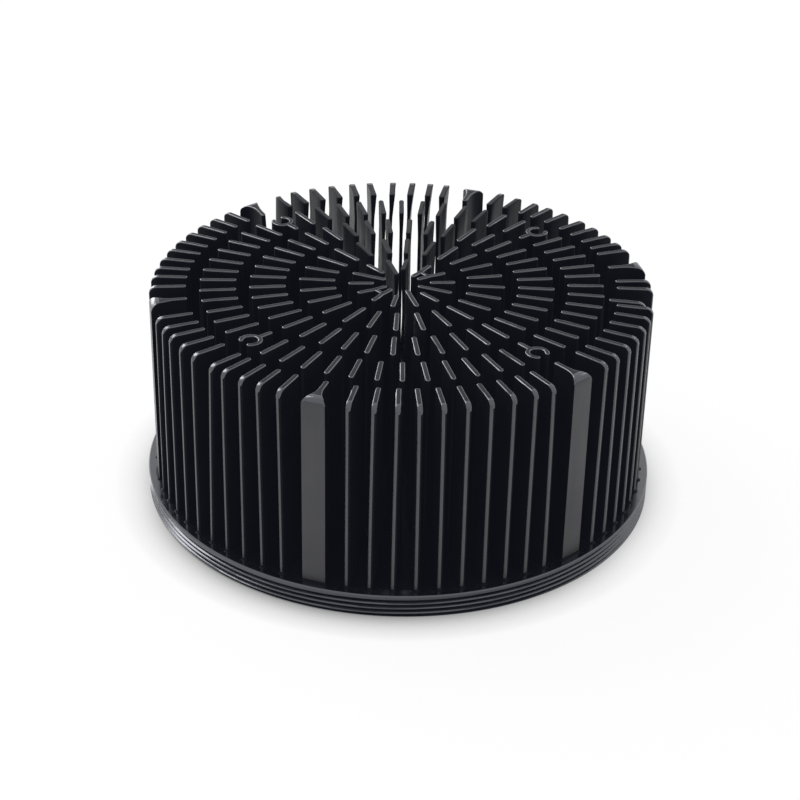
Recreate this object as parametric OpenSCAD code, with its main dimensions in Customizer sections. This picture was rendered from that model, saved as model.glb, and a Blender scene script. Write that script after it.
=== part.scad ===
// Round pin fin heat sink, forged in one piece: a threaded base plate that carries
// five rings of upright radial fins, six T fins and four slotted screw ports.
// Millimetres, +Z up. The origin is the centre of the base's flat underside.
// +X runs through the middle of one screw port and of one T fin.

/* [Base] */
// Diameter of the base over the crests of its rim thread
base_d = 150; // [148:0.5:170]
// Thickness of the base plate
base_t = 6.4; // [5:0.1:12]
// Chamfer round the top edge of the rim
rim_chamfer = 0.5; // [0.2:0.1:0.8]
// Plain band between the top chamfer and the first thread groove
rim_land = 0.35; // [0.2:0.05:1.5]
// Pitch of the rim thread
thread_pitch = 1.5; // [1:0.25:2]

/* [Fins] */
// Height of the fin tops above the base's underside
height = 64; // [30:1:100]
// Diameter of the circle that the outermost fins reach
fin_circle_d = 145; // [140:0.5:146]
// Length of a fin along its radius, over its round ends
fin_len = 10.6; // [9:0.1:11.4]
// Clear gap between one ring of fins and the next
fin_gap = 3.65; // [2.6:0.05:4.2]
// Thickness of a fin
fin_t = 1.5; // [1.2:0.05:1.9]
// Small chamfer round the top of every fin
fin_edge = 0.25; // [0.1:0.05:0.4]
// Small chamfer where every fin meets the base
fin_foot = 0.3; // [0.1:0.05:0.5]

/* [Outer ring] */
// Number of T fins round the outer ring
t_fins = 6; // [4:1:6]
// Width of a T fin's outer face
t_face_w = 6.6; // [4:0.2:8]
// Length over which a T fin's stem flares out to its face
t_flare_len = 6.8; // [3.4:0.2:8]
// Angle from a T fin to the plain fin beside it
t_space = 7.5; // [6.5:0.5:9]
// Number of plain fins between two T fins
outer_fins = 10; // [6:1:10]
// Depth to which the outer fins' round noses are turned flat
nose_cut = 0.15; // [0.05:0.05:0.3]
// Width of the turned rounding on the outer ring's top outer corner
corner_w = 2.2; // [0.8:0.1:3]
// Height of the same rounding
corner_h = 1.7; // [0.8:0.1:3]

/* [Port ring] */
// Number of screw ports in the second ring
ports = 4; // [2:1:4]
// Diameter of the circle through the screw ports' centres
port_pcd = 110; // [106:0.5:113]
// Outside diameter of a screw port
port_od = 6.7; // [5.8:0.1:8]
// Diameter of a screw port's hole
port_id = 4; // [3:0.1:4.8]
// Width of the slot in a screw port's wall
port_slot = 2.2; // [1.2:0.1:2.6]
// Angle from a screw port to the plain fin beside it
port_space = 7.8; // [7:0.1:10]
// Number of plain fins between two screw ports
port_fins = 12; // [6:1:12]

/* [Inner rings] */
// Number of fins in the third ring
third_fins = 40; // [20:1:44]
// Number of fins in the fourth ring
fourth_fins = 24; // [12:1:28]

/* [Centre ring] */
// Diameter of the clear circle inside the long centre fins
core_long_d = 10; // [9:0.1:12]
// Diameter of the clear circle inside the short centre fins
core_short_d = 16; // [14:0.1:18]
// How much shorter the two webbed pairs are at their outer ends
core_step = 1.1; // [0:0.1:2]
// Radius at which a web joins the two fins of a pair
web_r = 9; // [8:0.1:10]
// Thickness of a web
web_t = 1.2; // [0.8:0.1:1.6]

/* [Hidden] */
base_r = base_d / 2;
fin_r = fin_circle_d / 2;
ring_pitch = fin_len + fin_gap;
port_r = port_pcd / 2;
port_wall = (port_od - port_id) / 2;
port_mid_r = (port_od + port_id) / 4;
// A full turn
turn = 360;
// How far the fins run down into the base plate
root = 1;
// Overlap that lets a cutting shape pass clear of what it cuts
clear = 1;
// Thread form as shares of the pitch: depth, half width at the crest, half width at the root
groove_depth = thread_pitch * 0.61;
groove_half = thread_pitch * 0.43;
groove_root = thread_pitch * 0.08;
// Height of the middle of the top groove, the number of whole grooves,
// and the height of the last one, which opens through the bottom edge
groove_top = base_t - rim_chamfer - rim_land - groove_half;
grooves = floor(groove_top / thread_pitch);
groove_last = groove_top - grooves * thread_pitch;
// Number of slopes that make up the turned rounding, and the angle between them
corner_slopes = 4;
corner_turn = 90 / corner_slopes;
// Half width that a T fin gains, and the radius of its concave flare
t_gain = (t_face_w - fin_t) / 2;
t_lip = 0.3;
t_flare_r = (pow(t_flare_len - t_lip, 2) + pow(t_gain, 2)) / (2 * t_gain);
// The centre ring repeats this many fins twice round
core_half = 7;
core_fins = 2 * core_half;
core_step_angle = turn / core_fins;

// Outer and inner radius of a ring of fins, counted inwards from 0
function ring_out(ring) = fin_r - ring * ring_pitch;
function ring_in(ring) = ring_out(ring) - fin_len;

// Half of an upright wall's cross-section, from its middle outwards
function wall_side(half) = [
    [0, base_t - root],
    [half + fin_foot, base_t - root],
    [half + fin_foot, base_t],
    [half, base_t + fin_foot],
    [half, height - fin_edge],
    [half - fin_edge, height],
    [0, height],
];

// A round post with the fins' foot and top edge
module post(d) {
    rotate_extrude($fn = 48)
        polygon(wall_side(d / 2));
}

// A straight upright wall of thickness t, running len along +X
module wall(len, t) {
    rotate([90, 0, 90])
        linear_extrude(height = len) {
            polygon(wall_side(t / 2));
            mirror([1, 0])
                polygon(wall_side(t / 2));
        }
}

// A fin with round ends, lying along +X from radius r_in to radius r_out
module fin(r_in, r_out) {
    translate([r_in + fin_t / 2, 0, 0]) {
        wall(r_out - r_in - fin_t, fin_t);
        post(fin_t);
        translate([r_out - r_in - fin_t, 0, 0])
            post(fin_t);
    }
}

// One groove of the rim thread, as points from its lower edge to its upper edge
function groove(z) = [
    [base_r, z - groove_half],
    [base_r - groove_depth, z - groove_root],
    [base_r - groove_depth, z + groove_root],
    [base_r, z + groove_half],
];

// The thread is drawn as level rings of its pitch and depth
module base() {
    rotate_extrude($fn = 240)
        polygon(concat(
            [
                [0, 0],
                [base_r - groove_depth, 0],
                [base_r - groove_depth, groove_last + groove_root],
                [base_r, groove_last + groove_half],
            ],
            [for (i = [grooves - 1 : -1 : 0]) each groove(groove_top - i * thread_pitch)],
            [[base_r, base_t - rim_chamfer], [base_r - rim_chamfer, base_t], [0, base_t]]
        ));
}

// A T fin's plan outside its stem: a face that two concave arcs run out to
module t_flare_plan() {
    start = fin_r - t_flare_len;
    difference() {
        translate([start, -t_face_w / 2])
            square([t_flare_len + nose_cut, t_face_w]);
        for (side = [-1, 1])
            translate([start, side * (fin_t / 2 + t_flare_r)])
                circle(r = t_flare_r, $fn = 180);
    }
}

module t_fin() {
    fin(ring_in(0), fin_r - fin_t / 2);
    translate([0, 0, base_t - root])
        linear_extrude(height = height - base_t + root)
            t_flare_plan();
}

// What turning takes off the outer ring: the noses' tips and the top outer corner
module turned_off() {
    rotate_extrude($fn = 240)
        polygon(concat(
            [for (i = [0 : corner_slopes]) [
                fin_r - corner_w * (1 - sin(i * corner_turn)),
                height - corner_h * (1 - cos(i * corner_turn)),
            ]],
            [
                [fin_r, base_t],
                [fin_r + clear, base_t],
                [fin_r + clear, height + clear],
                [fin_r - corner_w, height + clear],
            ]
        ));
}

module outer_ring() {
    sector = turn / t_fins;
    step = (sector - 2 * t_space) / (outer_fins - 1);
    difference() {
        for (s = [0 : t_fins - 1])
            rotate(s * sector) {
                t_fin();
                for (i = [0 : outer_fins - 1])
                    rotate(t_space + i * step)
                        fin(ring_in(0), fin_r + nose_cut);
            }
        turned_off();
    }
}

// The hole of a screw port, with the same small chamfer at its mouth
module port_hole() {
    rotate_extrude($fn = 64)
        polygon([
            [0, base_t],
            [port_id / 2, base_t],
            [port_id / 2, height - fin_edge],
            [port_id / 2 + fin_edge, height],
            [port_id / 2 + fin_edge, height + clear],
            [0, height + clear],
        ]);
}

// A screw port: a C-shaped post with its slot outwards and a short fin inwards
module port() {
    lip_y = (port_slot + port_wall) / 2;
    lip_x = sqrt(pow(port_mid_r, 2) - pow(lip_y, 2));
    difference() {
        union() {
            translate([port_r, 0, 0])
                post(port_od);
            fin(ring_in(1), port_r);
        }
        translate([port_r, 0, 0])
            port_hole();
        translate([port_r, -lip_y, base_t])
            cube([port_od, 2 * lip_y, height]);
    }
    for (side = [-1, 1])
        translate([port_r + lip_x, side * lip_y, 0])
            post(port_wall);
}

module port_ring() {
    sector = turn / ports;
    step = (sector - 2 * port_space) / (port_fins - 1);
    for (s = [0 : ports - 1])
        rotate(s * sector) {
            port();
            for (i = [0 : port_fins - 1])
                rotate(port_space + i * step)
                    fin(ring_in(1), ring_out(1));
        }
}

// An even ring of plain fins
module plain_ring(ring, count) {
    for (i = [0 : count - 1])
        rotate(i * turn / count)
            fin(ring_in(ring), ring_out(ring));
}

// A web between two neighbouring centre fins, midway at the angle 0
module web() {
    half = web_r * sin(core_step_angle / 2);
    translate([web_r * cos(core_step_angle / 2), -half, 0])
        rotate(90)
            wall(2 * half, web_t);
}

// Long and short fins take turns, and each half ring has one webbed pair
module centre_ring() {
    for (i = [0 : core_fins - 1]) {
        place = i % core_half;
        short = place == 0 || place == 2 || place == 5;
        webbed = place == 3 || place == 4;
        rotate(i * core_step_angle)
            fin((short ? core_short_d : core_long_d) / 2,
                ring_out(4) - (webbed ? core_step : 0));
    }
    for (side = [0, 1])
        rotate((core_half / 2 + side * core_half) * core_step_angle)
            web();
}

module heat_sink() {
    color([0.07, 0.07, 0.08]) {
        base();
        outer_ring();
        port_ring();
        plain_ring(2, third_fins);
        plain_ring(3, fourth_fins);
        centre_ring();
    }
}

heat_sink();
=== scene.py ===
"""Looks of the round pin fin heat sink: fins, ports, threaded base, black anodising, studio."""

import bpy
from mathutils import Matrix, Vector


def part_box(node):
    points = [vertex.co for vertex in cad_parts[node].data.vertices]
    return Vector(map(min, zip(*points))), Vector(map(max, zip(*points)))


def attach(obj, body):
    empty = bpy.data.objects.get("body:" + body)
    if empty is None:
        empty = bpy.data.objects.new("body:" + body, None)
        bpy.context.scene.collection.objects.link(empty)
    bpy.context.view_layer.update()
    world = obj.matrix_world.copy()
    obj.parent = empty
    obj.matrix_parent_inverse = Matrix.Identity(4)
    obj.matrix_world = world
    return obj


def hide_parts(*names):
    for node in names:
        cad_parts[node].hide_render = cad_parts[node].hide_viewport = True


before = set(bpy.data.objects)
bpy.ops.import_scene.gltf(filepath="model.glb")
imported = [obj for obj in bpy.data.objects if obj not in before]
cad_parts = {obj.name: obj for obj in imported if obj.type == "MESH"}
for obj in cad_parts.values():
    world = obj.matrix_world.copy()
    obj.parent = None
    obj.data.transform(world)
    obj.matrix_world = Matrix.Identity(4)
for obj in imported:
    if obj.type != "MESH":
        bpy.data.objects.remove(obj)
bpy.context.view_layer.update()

import math
import random

import bpy
import numpy as np
from mathutils import Matrix, Vector

# ---------------------------------------------------------------- sizes, in millimetres
MM = 0.001
low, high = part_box("heat_sink")
BASE_R = (high.x - low.x) / 2 / MM
HEIGHT = high.z / MM
BASE_T = 6.8            # as in the photo; the solid's base is 6.4 thick
FIN_R = 72.5
FIN_LEN = 10.6
FIN_GAP = 3.65
FIN_T = 1.5
RING_PITCH = FIN_LEN + FIN_GAP
ROOT = 0.6              # how far a fin's shell runs down into the base
EDGE_R = 0.3            # rounding of the fins' top edges
FOOT_R = 0.5            # fillet where a fin meets the base
NOSE_CUT = 0.15         # how far the outer fins' round noses are turned flat
TURN_STOP = 0.5         # the turning ends this far above the base
CORNER_W = 2.2          # turned rounding on the outer ring's top outer corner
CORNER_H = 1.7
CORNER_SHARE = 0.94     # share of a quarter ellipse that the rounding runs through
T_FACE_W = 6.6
T_FLARE_LEN = 6.8
T_LIP = 0.3
PORT_R = 55.0
PORT_OUT = 3.35
PORT_IN = 2.0
PORT_SLOT = 2.2
THREAD_PITCH = 1.5
GROOVE_DEPTH = 0.915
GROOVE_HALF = 0.645     # half width of a thread groove at the crest
GROOVE_ROOT = 0.12      # half width of its flat bottom
GROOVE_FRONT_Z = 4.955  # height of the top groove at the front of the rim
RIM_CHAMFER = 0.3
FRONT = -42.2           # angle of the rim's front, which the camera faces

rng = random.Random(11)


def ring_out(ring):
    """Outer radius of a ring of fins, counted inwards from 0."""
    return FIN_R - ring * RING_PITCH


def ring_in(ring):
    return ring_out(ring) - FIN_LEN


def smooth(value, start, end):
    """0 before start, 1 after end, and a smooth step between them."""
    share = np.clip((value - start) / (end - start), 0, 1)
    return share * share * (3 - 2 * share)


# ---------------------------------------------------------------- plan outlines
# Half an outline runs from its inner end on the X axis to its outer end, on the +Y side.
NOSE_STEPS = 5          # steps round a fin's round end
PORT_STEPS = 14         # steps round a port's wall
LIP_STEPS = 6           # steps round the lip at a port's slot
T_STEM_R = 64.2         # radius at which a T fin's straight stem has an extra point
# Places along a T fin's flare, closer together where it curves most, and across half its face
T_REACHES = (0.0, 1.2, 2.3, 3.2, 4.0, 4.7, 5.1, 5.5, 5.9, 6.25, 6.5)
T_FACE_SHARES = (1, 2 / 3, 1 / 3, 0)
LEAST_SPREAD = 0.7      # keeps the mitre of a sharp corner short


def arc(cx, cy, radius, start, end, steps):
    """Points on a circle from one angle in degrees to another, both ends included."""
    angles = [math.radians(start + (end - start) * i / steps) for i in range(steps + 1)]
    return [(cx + radius * math.cos(a), cy + radius * math.sin(a)) for a in angles]


def fin_half(r_in, r_out, stations):
    """Half the plan of a fin with round ends, with extra points at the given radii."""
    half = FIN_T / 2
    inner = arc(r_in + half, 0, half, 180, 90, NOSE_STEPS)
    outer = arc(r_out - half, 0, half, 90, 0, NOSE_STEPS)
    return inner + [(r, half) for r in stations] + outer


def outer_half():
    """Half the plan of an outer fin, whose round nose is turned flat at the tip."""
    half = FIN_T / 2
    flat_deg = math.degrees(math.acos((half - NOSE_CUT) / half))
    points = fin_half(ring_in(0), FIN_R, OUTER_STATIONS)[:-NOSE_STEPS - 1]
    points += arc(FIN_R + NOSE_CUT - half, 0, half, 90, flat_deg, NOSE_STEPS)
    return points + [(FIN_R, NOSE_STRIP_EDGE), (FIN_R, 0)]


def t_half():
    """Half the plan of a T fin: a stem that flares out in a concave arc to a turned face."""
    half = FIN_T / 2
    gain = T_FACE_W / 2 - half
    flare_r = ((T_FLARE_LEN - T_LIP) ** 2 + gain ** 2) / (2 * gain)
    start = FIN_R - T_FLARE_LEN
    points = arc(ring_in(0) + half, 0, half, 180, 90, NOSE_STEPS) + [(T_STEM_R, half)]
    for reach in T_REACHES:
        points.append((start + reach, half + flare_r - math.sqrt(flare_r ** 2 - reach ** 2)))
    face = [T_FACE_W / 2 * share for share in T_FACE_SHARES]
    return points + [(math.sqrt(FIN_R ** 2 - y * y), y) for y in face]


def port_half():
    """Half the plan of a screw port: a short fin that runs into a C open outwards."""
    half = FIN_T / 2
    wall = PORT_OUT - PORT_IN
    middle = (PORT_OUT + PORT_IN) / 2
    lip_y = (PORT_SLOT + wall) / 2
    lip = math.degrees(math.asin(lip_y / middle))
    lip_x = PORT_R + math.sqrt(middle ** 2 - lip_y ** 2)
    join = 180 - math.degrees(math.asin(half / PORT_OUT))
    tail = arc(ring_in(1) + half, 0, half, 180, 90, NOSE_STEPS)
    outer = arc(PORT_R, 0, PORT_OUT, join, lip, PORT_STEPS)
    end = arc(lip_x, lip_y, wall / 2, lip, lip - 180, LIP_STEPS)[1:-1]
    inner = arc(PORT_R, 0, PORT_IN, lip, 180, PORT_STEPS)
    return tail + outer + end + inner


def whole(half_plan):
    """The closed outline, counter-clockwise, from half of it."""
    right = [(x, -y) for x, y in half_plan]
    left = [point for point in reversed(half_plan) if point[1] > 1e-6]
    return np.array(right + left)


def mitres(outline):
    """For each point of a closed outline, how it moves when its sides move out by 1."""
    edge = np.roll(outline, -1, axis=0) - outline
    edge /= np.linalg.norm(edge, axis=1)[:, None]
    normal = np.stack([edge[:, 1], -edge[:, 0]], axis=1)
    before = np.roll(normal, 1, axis=0)
    spread = 1 + np.sum(normal * before, axis=1)
    return (normal + before) / np.maximum(spread, LEAST_SPREAD)[:, None]


# ---------------------------------------------------------------- upright shells
# Rows of a post from its root up: how far the outline moves in, and where the row lies.
FOOT_ROWS = [(-FOOT_R, -ROOT), (-FOOT_R, 0.0), (-0.42 * FOOT_R, 0.22 * FOOT_R),
             (-0.1 * FOOT_R, 0.58 * FOOT_R), (0.0, FOOT_R)]
STOP_RISE = 0.06        # height over which the turning steps in
WALL_SHARES = (0.12, 0.3, 0.5, 0.7, 0.86)
EDGE_ANGLES = (0, 30, 60, 90)
PROUD_LEN = 0.8         # length over which a turned fin's foot comes to stand proud
UNEVEN = 0.018          # chance unevenness of the points near a post's top
UNEVEN_DEPTH = 2.5
SEEDS = 10 ** 6
FULL_WALL = 0.99        # a wall thinner than this share keeps the forged skin at its top edge
TWIST_SHARE = 0.6       # twist of a chance bend, as a share of its lean
KINK_AT = -0.15         # place and width of a kink, as shares of half a fin's length
KINK_W = 0.3

# The materials: forged sides (also painted shade in the thread's grooves), cut tops, turned faces,
# turned roundings and rim, turned noses whose lighter strip is partly painted highlight
FORGED, TOP, FACE, ROUNDED, NOSE = 0, 1, 2, 3, 4
# How far in and how far to the counter-clockwise side a turned post's smooth, lighter face runs. On
# the outer noses this strip is partly turned finish and partly painted highlight, as it covers only
# their clockwise side
NOSE_STRIP_EDGE = 0.15
FACE_POLISH = (0.01, T_FACE_W)
NOSE_POLISH_AND_HIGHLIGHT = (0.36, NOSE_STRIP_EDGE + 0.01)


class Shells:
    """Closed shells that together make one mesh, in millimetres."""

    def __init__(self):
        self.points = []
        self.faces = []
        self.skins = []
        self.count = 0

    def add(self, points, faces, skins):
        """Adds a shell; skins holds each face's material, counted from 0."""
        self.points.append(points)
        self.faces += [tuple(i + self.count for i in face) for face in faces]
        self.skins += skins
        self.count += len(points)

    def piece(self, name, materials, sharp_deg):
        """Makes the object, smooth-shaded except over its sharp edges."""
        mesh = bpy.data.meshes.new(name)
        mesh.from_pydata((np.concatenate(self.points) * MM).tolist(), [], self.faces)
        mesh.polygons.foreach_set("material_index", self.skins)
        mesh.shade_smooth()
        mesh.set_sharp_from_angle(angle=math.radians(sharp_deg))
        for material in materials:
            mesh.materials.append(material)
        piece = bpy.data.objects.new(name, mesh)
        bpy.context.scene.collection.objects.link(piece)
        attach(piece, "root")
        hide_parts("heat_sink")


class Bend:
    """How a fin has been pushed out of true, in millimetres at its top."""

    def __init__(self, lean=0.0, twist=0.0, curl=0.0, kink=0.0, inward=0.0, power=1.6):
        self.lean, self.twist, self.curl = lean, twist, curl
        self.kink, self.inward, self.power = kink, inward, power

    def apply(self, points, r_mid, half_len):
        """lean moves the whole top, twist its two ends apart, curl its outer end."""
        rise = np.clip((points[:, 2] - BASE_T) / (HEIGHT - BASE_T), 0, 1) ** self.power
        along = (points[:, 0] - r_mid) / half_len
        curl = np.clip(along, 0, None) ** 2 * self.curl
        kink = np.exp(-((along - KINK_AT) / KINK_W) ** 2) * self.kink
        points[:, 1] += rise * (self.lean + self.twist * along + curl + kink)
        points[:, 0] -= rise * self.inward
        return points


def turned_top(radius, corner_h):
    """Height of the turned top at a radius: flat, then rounding down to the outer corner."""
    share = CORNER_SHARE * np.clip((radius - (FIN_R - CORNER_W)) / CORNER_W, 0, 1)
    whole_drop = 1 - math.sqrt(1 - CORNER_SHARE ** 2)
    return HEIGHT - corner_h * (1 - np.sqrt(1 - share ** 2)) / whole_drop


def turned(points, angle):
    """Points turned by an angle in degrees about the centre."""
    turn = math.radians(angle)
    x = points[:, 0] * math.cos(turn) - points[:, 1] * math.sin(turn)
    y = points[:, 0] * math.sin(turn) + points[:, 1] * math.cos(turn)
    return np.column_stack([x, y, points[:, 2]])


def tube(levels, count):
    """The quads between closed rows of points, each with the level of its lower row."""
    for level in range(levels):
        a, b = level * count, (level + 1) * count
        for i in range(count):
            j = (i + 1) % count
            yield level, (a + i, a + j, b + j, b + i)


def top_faces(first, count, paired):
    """The top over the last row: one face or, where the two sides pair up, a strip of quads."""
    if not paired:
        return [tuple(range(first, first + count))]
    strip = [(first, first + 1, first + count - 1)]
    for i in range(1, count // 2 - 1):
        strip.append((first + i, first + i + 1, first + count - i - 1, first + count - i))
    end = first + count // 2
    return strip + [(end - 1, end, end + 1)]


def post(shells, half_plan, angle, bend=None, paired=True, corner_h=0.0, polished_or_lit=None,
         shank=1.0, head=1.0):
    """Adds an upright post of the given plan, turned to its angle about the centre.

    A post with a corner height is turned: it is rounded at its outer corner, its foot
    stands a little proud of it, and polished_or_lit gives how far in from the turned radius and how
    far to the counter-clockwise side its smooth, lighter face runs; on the outer noses that strip is
    partly turned finish and partly painted highlight. shank and head scale the
    thickness of its wall and of its top."""
    outline = whole(half_plan)
    count = len(outline)
    rows = []
    turned_or_lit = np.zeros(count, bool)
    proud = 0.0
    if polished_or_lit:
        depth, side = polished_or_lit
        reach = np.hypot(outline[:, 0], outline[:, 1])
        turned_or_lit = (reach > FIN_R - depth) & (outline[:, 1] < side)
        proud = NOSE_CUT * np.clip((outline[:, 0] - FIN_R + PROUD_LEN) / PROUD_LEN, 0, 1)

    def top(radius):
        return turned_top(radius, corner_h)

    def row(inset, height_of, proud=0.0, thickness=1.0):
        plan = outline * (1, thickness)
        plan = plan - mitres(plan) * inset
        plan[:, 0] += proud
        rows.append(np.column_stack([plan, height_of(np.hypot(plan[:, 0], plan[:, 1]))]))

    for inset, rise in FOOT_ROWS:
        row(inset, lambda r: np.full_like(r, BASE_T + rise), proud)
    if polished_or_lit:
        row(0.0, lambda r: np.full_like(r, BASE_T + TURN_STOP), proud)
        row(0.0, lambda r: np.full_like(r, BASE_T + TURN_STOP + STOP_RISE))
    for share in WALL_SHARES:
        row(0.0, lambda r: BASE_T + share * (top(r) - BASE_T), thickness=shank)
    for step in EDGE_ANGLES:
        turn = math.radians(step)
        drop = EDGE_R * (1 - math.sin(turn))
        row(EDGE_R * (1 - math.cos(turn)), lambda r: top(r) - drop, thickness=head)
    points = np.concatenate(rows)
    chance = np.random.RandomState(rng.randrange(SEEDS))
    uneven = chance.normal(0, UNEVEN, len(points))
    points[:, 1] += uneven * (points[:, 2] > HEIGHT - UNEVEN_DEPTH)

    faces = [tuple(range(count - 1, -1, -1))]
    skins = [FORGED]
    # The T fins' faces are turned finish; the noses' lighter strip is partly turned finish and partly
    # painted highlight
    turned_or_lit_skin = NOSE if polished_or_lit == NOSE_POLISH_AND_HIGHLIGHT else FACE
    for level, quad in tube(len(rows) - 1, count):
        faces.append(quad)
        turned_or_lit_side = turned_or_lit[quad[0] % count] and turned_or_lit[quad[1] % count]
        if turned_or_lit_side and level > len(FOOT_ROWS):
            skins.append(turned_or_lit_skin)
        elif shank > FULL_WALL and level >= len(rows) - len(EDGE_ANGLES):
            skins.append(ROUNDED)
        else:
            skins.append(FORGED)
    for face in top_faces((len(rows) - 1) * count, count, paired):
        faces.append(face)
        beyond = max(points[i, 0] for i in face) > FIN_R - CORNER_W
        skins.append(ROUNDED if beyond else TOP)
    if bend:
        ends = outline[:, 0]
        points = bend.apply(points, (ends.min() + ends.max()) / 2, (ends.max() - ends.min()) / 2)
    shells.add(turned(points, angle), faces, skins)


def sway(amount):
    """A small chance bend, as every forged fin has."""
    return Bend(lean=rng.gauss(0, amount), twist=rng.gauss(0, amount * TWIST_SHARE))


# ---------------------------------------------------------------- rings of fins
# Bent outer fins, by angle. The leans from 262.5 to 352.5 were worked out from edge offsets
# that a scratch program measured in the photo and the render, and rounded. The others were read
# off pictures of the photo. A listed fin draws no chance bend, even where it hardly leans.
BENT_OUTER = {
    42.5: Bend(lean=-2.9, twist=-0.4, inward=2.4, power=1.0),
    52.5: Bend(lean=-1.0), 67.5: Bend(lean=1.3), 92.5: Bend(lean=0.8), 97.5: Bend(lean=0.8),
    7.5: Bend(lean=0.5), 352.5: Bend(lean=-0.6),
    142.5: Bend(lean=-1.7, twist=-0.5), 137.5: Bend(lean=-1.8, twist=-0.4),
    132.5: Bend(lean=-1.6), 127.5: Bend(lean=-0.6), 147.5: Bend(lean=-0.9),
    152.5: Bend(lean=-1.2, twist=-0.3), 157.5: Bend(lean=-0.9), 162.5: Bend(lean=-0.7),
    167.5: Bend(lean=-0.5), 172.5: Bend(lean=-0.2, curl=-1.5),
    247.5: Bend(lean=1.2), 252.5: Bend(lean=1.2), 262.5: Bend(lean=0.3), 267.5: Bend(lean=0.3),
    272.5: Bend(lean=1.9, power=1.1), 277.5: Bend(lean=0.25), 282.5: Bend(lean=0.1),
    287.5: Bend(lean=-0.45), 292.5: Bend(lean=-0.45), 307.5: Bend(lean=0.02),
    312.5: Bend(lean=0.45), 317.5: Bend(lean=0.3), 322.5: Bend(lean=-0.3),
    327.5: Bend(lean=-0.3), 332.5: Bend(lean=-0.15), 337.5: Bend(lean=-0.1),
    342.5: Bend(lean=0.0), 347.5: Bend(lean=0.1),
}
OUTER_STATIONS = (65.0, 67.8, 70.3, 70.6, 70.9, 71.2, 71.55)    # radii of its extra points
T_FINS = 6
T_SPACE = 7.5
OUTER_FINS = 10
T_TURN = -0.15          # how far the T fins, and then the fins between them, sit turned
FIN_TURN = -0.22        # against the rings inside them
T_SWAY = 0.05           # chance bends, in millimetres at the top
OUTER_SWAY = 0.12
FIN_SWAY = 0.1
CORE_SWAY = 0.08
STRUCK_AT = 180         # angle of the T fin whose top is struck out of line
STRUCK = Bend(lean=0.3, twist=-1.6, curl=1.2, power=3.0)
# The fins at the back look thin in the photo, with thicker tips and hardly any rounding
BACK = 140.0            # angle at their middle
BACK_OUTER = (0.8, 0.9)     # cosines, off that angle, at which the change starts and is full
BACK_INNER = (0.86, 0.95)
BACK_THINNING = 0.35
BACK_TIP = 0.25
BACK_CORNER = 0.8       # share of the corner's rounding that they lack
PORTS = 4
PORT_SPACE = 7.8
PORT_FINS = 12
PORT_STATIONS = (51.2, 54.8)    # radii of extra points in the port ring
INNER_STATIONS = (3.6, 7.0)     # extra points of an inner fin, outwards from its inner end


def behind(angle, limits):
    """How much a fin at this angle belongs to the back: from 0 to 1."""
    return smooth(math.cos(math.radians(angle - BACK)), *limits)


def outer_ring():
    shells = Shells()
    plan = outer_half()
    sector = 360 / T_FINS
    step = (sector - 2 * T_SPACE) / (OUTER_FINS - 1)
    for s in range(T_FINS):
        bend = STRUCK if s * sector == STRUCK_AT else sway(T_SWAY)
        post(shells, t_half(), s * sector + T_TURN, bend, corner_h=CORNER_H,
             polished_or_lit=FACE_POLISH)
        for i in range(OUTER_FINS):
            angle = s * sector + T_SPACE + i * step
            bend = BENT_OUTER.get(angle) or sway(OUTER_SWAY)
            back = behind(angle, BACK_OUTER)
            post(shells, plan, angle + FIN_TURN, bend, corner_h=CORNER_H * (1 - BACK_CORNER * back),
                 polished_or_lit=NOSE_POLISH_AND_HIGHLIGHT, shank=1 - BACK_THINNING * back, head=1 + BACK_TIP * back)
    return shells


def shank_at(angle):
    """Thickness of an inner fin's wall, which is less near the back."""
    return 1 - BACK_THINNING * behind(angle, BACK_INNER)


def port_ring():
    shells = Shells()
    plan = fin_half(ring_in(1), ring_out(1), PORT_STATIONS)
    sector = 360 / PORTS
    step = (sector - 2 * PORT_SPACE) / (PORT_FINS - 1)
    for s in range(PORTS):
        post(shells, port_half(), s * sector, paired=False)
        for i in range(PORT_FINS):
            angle = s * sector + PORT_SPACE + i * step
            post(shells, plan, angle, bend=sway(FIN_SWAY), shank=shank_at(angle))
    return shells


def plain_ring(shells, ring, count, bent):
    r_in, r_out = ring_in(ring), ring_out(ring)
    plan = fin_half(r_in, r_out, [r_in + station for station in INNER_STATIONS])
    for i in range(count):
        angle = i * 360 / count
        post(shells, plan, angle, bend=bent.get(angle) or sway(FIN_SWAY), shank=shank_at(angle))


THIRD_FINS = 40
FOURTH_FINS = 24
BENT_FOURTH = {120.0: Bend(lean=-0.5), 150.0: Bend(lean=-0.5)}
CORE_FINS = 14
CORE_LONG_R = 5.0
CORE_SHORT_R = 8.0
CORE_STEP = 1.1         # how much shorter the webbed fins are at their outer ends
CORE_STATION = 2.6      # extra points of a centre fin, this far from its ends
WEB_R = 9.0
WEB_T = 1.2
SHORT_PLACES = (0, 2, 5)
WEBBED_PLACES = (3, 4)
BENT_CORE = {5: Bend(lean=1.1), 3: Bend(kink=0.35), 4: Bend(kink=-0.35),
             10: Bend(kink=0.35), 11: Bend(kink=-0.35)}


def web_half(length):
    """Half the plan of a web, lying along X from 0."""
    return [(0.0, 0.0), (0.0, WEB_T / 2), (length / 2, WEB_T / 2), (length, WEB_T / 2), (length, 0.0)]


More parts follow.
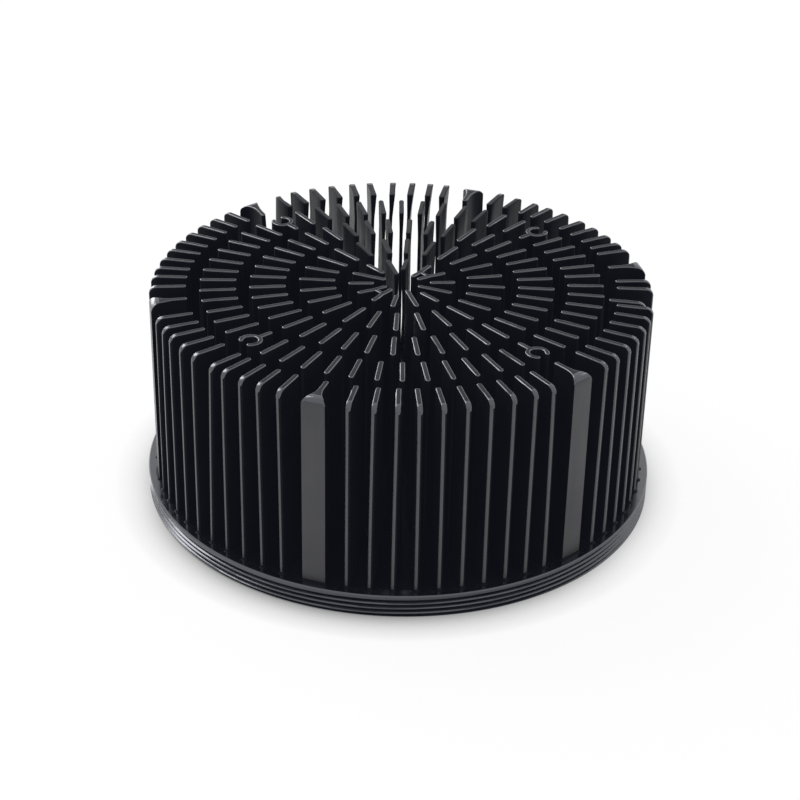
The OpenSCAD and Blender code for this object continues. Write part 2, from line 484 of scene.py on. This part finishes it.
def centre_ring(shells):
    step = 360 / CORE_FINS
    for i in range(CORE_FINS):
        place = i % (CORE_FINS // 2)
        r_in = CORE_SHORT_R if place in SHORT_PLACES else CORE_LONG_R
        r_out = ring_out(4) - (CORE_STEP if place in WEBBED_PLACES else 0)
        stations = (r_in + CORE_STATION, (r_in + r_out) / 2, r_out - CORE_STATION)
        bend = BENT_CORE.get(i) or sway(CORE_SWAY)
        post(shells, fin_half(r_in, r_out, stations), i * step, bend, shank=shank_at(i * step))
    for side in (0, 1):
        middle = (CORE_FINS / 4 + side * CORE_FINS / 2) * step
        half = WEB_R * math.sin(math.radians(step / 2))
        reach = WEB_R * math.cos(math.radians(step / 2))
        web = Shells()
        post(web, web_half(2 * half), 0)
        along, across, heights = web.points[0].T
        points = np.column_stack([across + reach, half - along, heights])
        shells.add(turned(points, middle), web.faces, web.skins)


# ---------------------------------------------------------------- threaded base
RIM_STEPS = 420
RIM_ROWS = 58
GROOVE_SHADE_DEPTH = 0.5       # below the crests by more than this, the thread has the forged finish, as painted shade in its grooves
THREAD_TURNS = (1, 0, -1, -2, -3, -4)
THREAD_FADE = (288.0, 306.0)    # angles from the front over which the top groove runs out
SHOULDER_Z = 5.68       # the tool stays below this height while it runs out
HUB_R = 40.0            # the base's flat faces are closed inside this radius
LAND_R = FIN_R - 0.5    # inner edge of the flat that has the turned skin


def rim_radius(around, z):
    """Radius of the rim at an angle round from its front and a height."""
    depth = np.zeros_like(z)
    for turn in THREAD_TURNS:
        path = around + 360 * turn
        centre = np.minimum(GROOVE_FRONT_Z + THREAD_PITCH * path / 360, SHOULDER_Z)
        off = np.abs(z - centre)
        shape = np.clip((GROOVE_HALF - off) / (GROOVE_HALF - GROOVE_ROOT), 0, 1)
        depth = np.maximum(depth, shape * (1 - smooth(path, *THREAD_FADE)))
    radius = BASE_R - GROOVE_DEPTH * depth
    return np.minimum(radius, BASE_R - (z - (BASE_T - RIM_CHAMFER)))


def base_plate():
    shells = Shells()
    heights = np.linspace(0, BASE_T, RIM_ROWS + 1)
    around = np.arange(RIM_STEPS) * 360 / RIM_STEPS - 180
    turn = np.radians(around + FRONT)
    rows = [(np.full(RIM_STEPS, HUB_R), 0.0)]
    rows += [(rim_radius(around, np.full(RIM_STEPS, z)), z) for z in heights]
    rows += [(np.full(RIM_STEPS, r), BASE_T) for r in (LAND_R, HUB_R)]
    points = np.concatenate([np.column_stack([r * np.cos(turn), r * np.sin(turn),
                                              np.full(RIM_STEPS, z)]) for r, z in rows])
    # Forged on the base's flat faces, and in the thread's grooves as painted shade; turned elsewhere
    forged_or_shaded = np.hypot(points[:, 0], points[:, 1]) < BASE_R - GROOVE_SHADE_DEPTH
    faces = [tuple(range(RIM_STEPS - 1, -1, -1))]
    skins = [FORGED]
    for _, quad in tube(len(rows) - 1, RIM_STEPS):
        faces.append(quad)
        skins.append(FORGED if forged_or_shaded[quad[0]] and forged_or_shaded[quad[3]] else ROUNDED)
    last = (len(rows) - 1) * RIM_STEPS
    faces.append(tuple(range(last, last + RIM_STEPS)))
    shells.add(points, faces, skins + [FORGED])
    return shells


# ---------------------------------------------------------------- materials
MOTTLE_SCALE = 90.0     # noise scales, in object space
SHEEN_SCALE = 400.0
DRAWN_SCALE = 1500.0
GRAIN_SCALE = 3500.0
EVEN = (1, 1, 1)
UPRIGHT = (1, 1, 0.12)  # stretches the noise upwards
DRAWN = (1, 1, 0.02)
SHEEN_SPREAD = 0.12     # how much the roughness varies
GRAIN_BUMP = 0.00002
BUMP_STRENGTH = 0.35
SHEEN_TINT = (0.9, 0.92, 1.0, 1)
# A faint even glow on every finish. It isn't real light: it matches the photo's lifted blacks.
PAINTED_GLOW = (0.0036, 0.0042, 0.0064, 1)


def node(tree, kind, **settings):
    made = tree.nodes.new(kind)
    for name, value in settings.items():
        setattr(made, name, value)
    return made


def noise(tree, space, scale, stretch, detail=3.0):
    """Noise in object space, with its grain stretched by the given scale."""
    mapping = node(tree, "ShaderNodeMapping")
    mapping.inputs["Scale"].default_value = stretch
    tree.links.new(space, mapping.inputs["Vector"])
    made = node(tree, "ShaderNodeTexNoise")
    made.inputs["Scale"].default_value = scale
    made.inputs["Detail"].default_value = detail
    tree.links.new(mapping.outputs["Vector"], made.inputs["Vector"])
    return made.outputs["Fac"]


def ramp(tree, value, stops):
    made = node(tree, "ShaderNodeValToRGB")
    made.color_ramp.elements[0].position, made.color_ramp.elements[0].color = stops[0]
    made.color_ramp.elements[1].position, made.color_ramp.elements[1].color = stops[1]
    tree.links.new(value, made.inputs["Fac"])
    return made.outputs["Color"]


def grey(value):
    return (value, value, value, 1.0)


def anodised(name, dark, light, rough, ior, drawn_bump):
    """Black anodised aluminium: faint mottling, drawn upright grain and a bluish sheen."""
    material = bpy.data.materials.new(name)
    material.use_nodes = True
    tree = material.node_tree
    shader = tree.nodes["Principled BSDF"]
    space = node(tree, "ShaderNodeTexCoord").outputs["Object"]
    mottle = noise(tree, space, MOTTLE_SCALE, EVEN)
    tree.links.new(ramp(tree, mottle, [(0.3, dark), (0.75, light)]), shader.inputs["Base Color"])
    sheen = noise(tree, space, SHEEN_SCALE, UPRIGHT)
    tree.links.new(ramp(tree, sheen, [(0.3, grey(rough)), (0.7, grey(rough + SHEEN_SPREAD))]),
                   shader.inputs["Roughness"])
    shader.inputs["Specular Tint"].default_value = SHEEN_TINT
    shader.inputs["IOR"].default_value = ior
    # Every finish has this faint painted glow, though it is no lamp
    shader.inputs["Emission Color"].default_value = PAINTED_GLOW
    shader.inputs["Emission Strength"].default_value = 1.0
    drawn = bump(tree, noise(tree, space, DRAWN_SCALE, DRAWN), drawn_bump)
    grain = bump(tree, noise(tree, space, GRAIN_SCALE, EVEN), GRAIN_BUMP)
    tree.links.new(drawn.outputs["Normal"], grain.inputs["Normal"])
    tree.links.new(grain.outputs["Normal"], shader.inputs["Normal"])
    return material


def bump(tree, height, distance):
    made = node(tree, "ShaderNodeBump")
    made.inputs["Strength"].default_value = BUMP_STRENGTH
    made.inputs["Distance"].default_value = distance
    tree.links.new(height, made.inputs["Height"])
    return made


# Each finish: darkest and lightest colour, roughness, index of refraction, depth of the grain
forged = anodised("forged_black", (0.002, 0.0021, 0.0027, 1), (0.004, 0.0041, 0.005, 1),
                  0.3, 1.14, 0.00004)
cut = anodised("cut_black", (0.004, 0.004, 0.006, 1), (0.006, 0.006, 0.009, 1),
               0.26, 1.22, 0.0)
face = anodised("turned_face", (0.027, 0.026, 0.0265, 1), (0.035, 0.034, 0.0345, 1),
                0.34, 1.5, 0.00002)
rounded = anodised("turned_edge", (0.0005, 0.0005, 0.001, 1), (0.002, 0.002, 0.003, 1),
                   0.14, 1.95, 0.0)
# Turned noses: a lighter strip, partly turned finish and partly painted highlight, as it covers only
# each nose's clockwise side
nose = anodised("turned_nose_and_highlight", (0.035, 0.034, 0.035, 1), (0.045, 0.044, 0.045, 1),
                0.3, 1.6, 0.00002)
finish = [forged, cut, face, rounded, nose]     # in the order of FORGED, TOP, FACE, ROUNDED, NOSE

SHARP_FIN = 38          # angles over which an edge stays sharp
SHARP_RIM = 30
outer_ring().piece("outer_ring", finish, SHARP_FIN)
port_ring().piece("port_ring", finish, SHARP_FIN)
inner = Shells()
plain_ring(inner, 2, THIRD_FINS, {})
plain_ring(inner, 3, FOURTH_FINS, BENT_FOURTH)
centre_ring(inner)
inner.piece("inner_rings", finish, SHARP_FIN)
base_plate().piece("base_plate", finish, SHARP_RIM)


# ---------------------------------------------------------------- studio
SHADOW_REACH = 0.012    # metres over which the contact shadow fades
SHADOW_FRONT = 1.7      # how dark it is before the rim
SHADOW_SIDE = 0.75      # how dark it is beside it
SHADOW_SHARE = 0.9      # share of what the camera sees that follows the contact shadow
SHADOW_TURN = -52.0     # angle at which it is darkest
SHADOW_FROM = 0.03      # metres towards that angle between which the shade deepens
SHADOW_TO = 0.075
FLOOR_REACH = 3.0
CAMERA_TURN = 47.8      # angle of the photo's side, counter-clockwise from -Y


def backdrop_material():
    """Paper with a drawn contact shadow, of which the camera sees a fixed share.

    The camera's share is white, darkened by ambient occlusion, and more so towards the
    front. The rest, and all that other rays see, is plain lit paper."""
    material = bpy.data.materials.new("paper")
    material.use_nodes = True
    tree = material.node_tree
    shader = tree.nodes["Principled BSDF"]
    shader.inputs["Base Color"].default_value = (0.8, 0.8, 0.8, 1)
    shader.inputs["Roughness"].default_value = 0.9
    shader.inputs["Specular IOR Level"].default_value = 0.0
    near = node(tree, "ShaderNodeAmbientOcclusion", samples=8)
    near.inputs["Distance"].default_value = SHADOW_REACH
    depth = node(tree, "ShaderNodeMath", operation="POWER")
    tree.links.new(near.outputs["AO"], depth.inputs[0])
    turn = math.radians(SHADOW_TURN)
    ahead = node(tree, "ShaderNodeVectorMath", operation="DOT_PRODUCT")
    ahead.inputs[1].default_value = (math.cos(turn), math.sin(turn), 0)
    tree.links.new(node(tree, "ShaderNodeNewGeometry").outputs["Position"], ahead.inputs[0])
    darkness = node(tree, "ShaderNodeMapRange")
    darkness.inputs["From Min"].default_value = SHADOW_FROM
    darkness.inputs["From Max"].default_value = SHADOW_TO
    darkness.inputs["To Min"].default_value = SHADOW_SIDE
    darkness.inputs["To Max"].default_value = SHADOW_FRONT
    tree.links.new(ahead.outputs["Value"], darkness.inputs["Value"])
    tree.links.new(darkness.outputs["Result"], depth.inputs[1])
    white = node(tree, "ShaderNodeEmission")
    tree.links.new(depth.outputs["Value"], white.inputs["Strength"])
    seen = node(tree, "ShaderNodeMath", operation="MULTIPLY")
    seen.inputs[1].default_value = SHADOW_SHARE
    tree.links.new(node(tree, "ShaderNodeLightPath").outputs["Is Camera Ray"], seen.inputs[0])
    mix = node(tree, "ShaderNodeMixShader")
    tree.links.new(seen.outputs["Value"], mix.inputs["Fac"])
    tree.links.new(shader.outputs["BSDF"], mix.inputs[1])
    tree.links.new(white.outputs["Emission"], mix.inputs[2])
    tree.links.new(mix.outputs["Shader"], tree.nodes["Material Output"].inputs["Surface"])
    return material


def floor():
    mesh = bpy.data.meshes.new("floor")
    corners = [(-1, -1), (1, -1), (1, 1), (-1, 1)]
    mesh.from_pydata([(x * FLOOR_REACH, y * FLOOR_REACH, 0) for x, y in corners], [], [(0, 1, 2, 3)])
    mesh.materials.append(backdrop_material())
    piece = bpy.data.objects.new("floor", mesh)
    bpy.context.scene.collection.objects.link(piece)


def area_lamp(name, place, size, watts, colour=(1, 1, 1)):
    """A square soft lamp that faces the middle of the object."""
    light = bpy.data.lights.new(name, "AREA")
    light.size = size
    light.energy = watts
    light.color = colour
    lamp = bpy.data.objects.new(name, light)
    lamp.location = place
    aim = Vector((0, 0, 0.03)) - Vector(place)
    lamp.rotation_euler = aim.to_track_quat("-Z", "Y").to_euler()
    bpy.context.scene.collection.objects.link(lamp)


def camera_turned(x, y, z):
    """A place given in the camera's frame, where the camera looks along +Y, in the part's frame."""
    turn = math.radians(CAMERA_TURN)
    return (x * math.cos(turn) - y * math.sin(turn), x * math.sin(turn) + y * math.cos(turn), z)


floor()
world = bpy.data.worlds.new("studio")
bpy.context.scene.world = world
world.use_nodes = True
sky = world.node_tree
background = sky.nodes["Background"]
background.inputs["Color"].default_value = (1, 1, 1, 1)
background.inputs["Strength"].default_value = 1.0
area_lamp("lamp_left", camera_turned(-0.6, 0.42, 0.8), 0.6, 6)
area_lamp("lamp_low", camera_turned(-0.6, 0.9, 0.25), 0.4, 2.4)
area_lamp("lamp_right", camera_turned(0.61, 0.6, 0.72), 0.25, 0.4, (0.85, 0.95, 1))

# The camera, fitted to the photo: its place, tilt down, small turn and roll, and focal length
CAMERA_PLACE = (-0.000255, -0.499403, 0.310935)
TILT_DOWN = 0.5202
YAW = 0.0008
ROLL = 0.0209
FOCAL_MM = 86.86

SENSOR_MM = 36.0

camera = bpy.data.objects.new("camera", bpy.data.cameras.new("camera"))
camera.data.lens = FOCAL_MM
camera.data.sensor_width = SENSOR_MM
level = Vector((math.sin(YAW), math.cos(YAW), 0))
forward = level * math.cos(TILT_DOWN) - Vector((0, 0, math.sin(TILT_DOWN)))
side = Vector((math.cos(YAW), -math.sin(YAW), 0))
over = side.cross(forward)
right = side * math.cos(ROLL) + over * math.sin(ROLL)
up = over * math.cos(ROLL) - side * math.sin(ROLL)
axes = Matrix((right, up, -forward)).transposed().to_4x4()
camera.matrix_world = (Matrix.Rotation(math.radians(CAMERA_TURN), 4, "Z")
                       @ Matrix.Translation(CAMERA_PLACE) @ axes)
bpy.context.scene.collection.objects.link(camera)
bpy.context.scene.camera = camera
bpy.context.scene.view_settings.view_transform = "Standard"
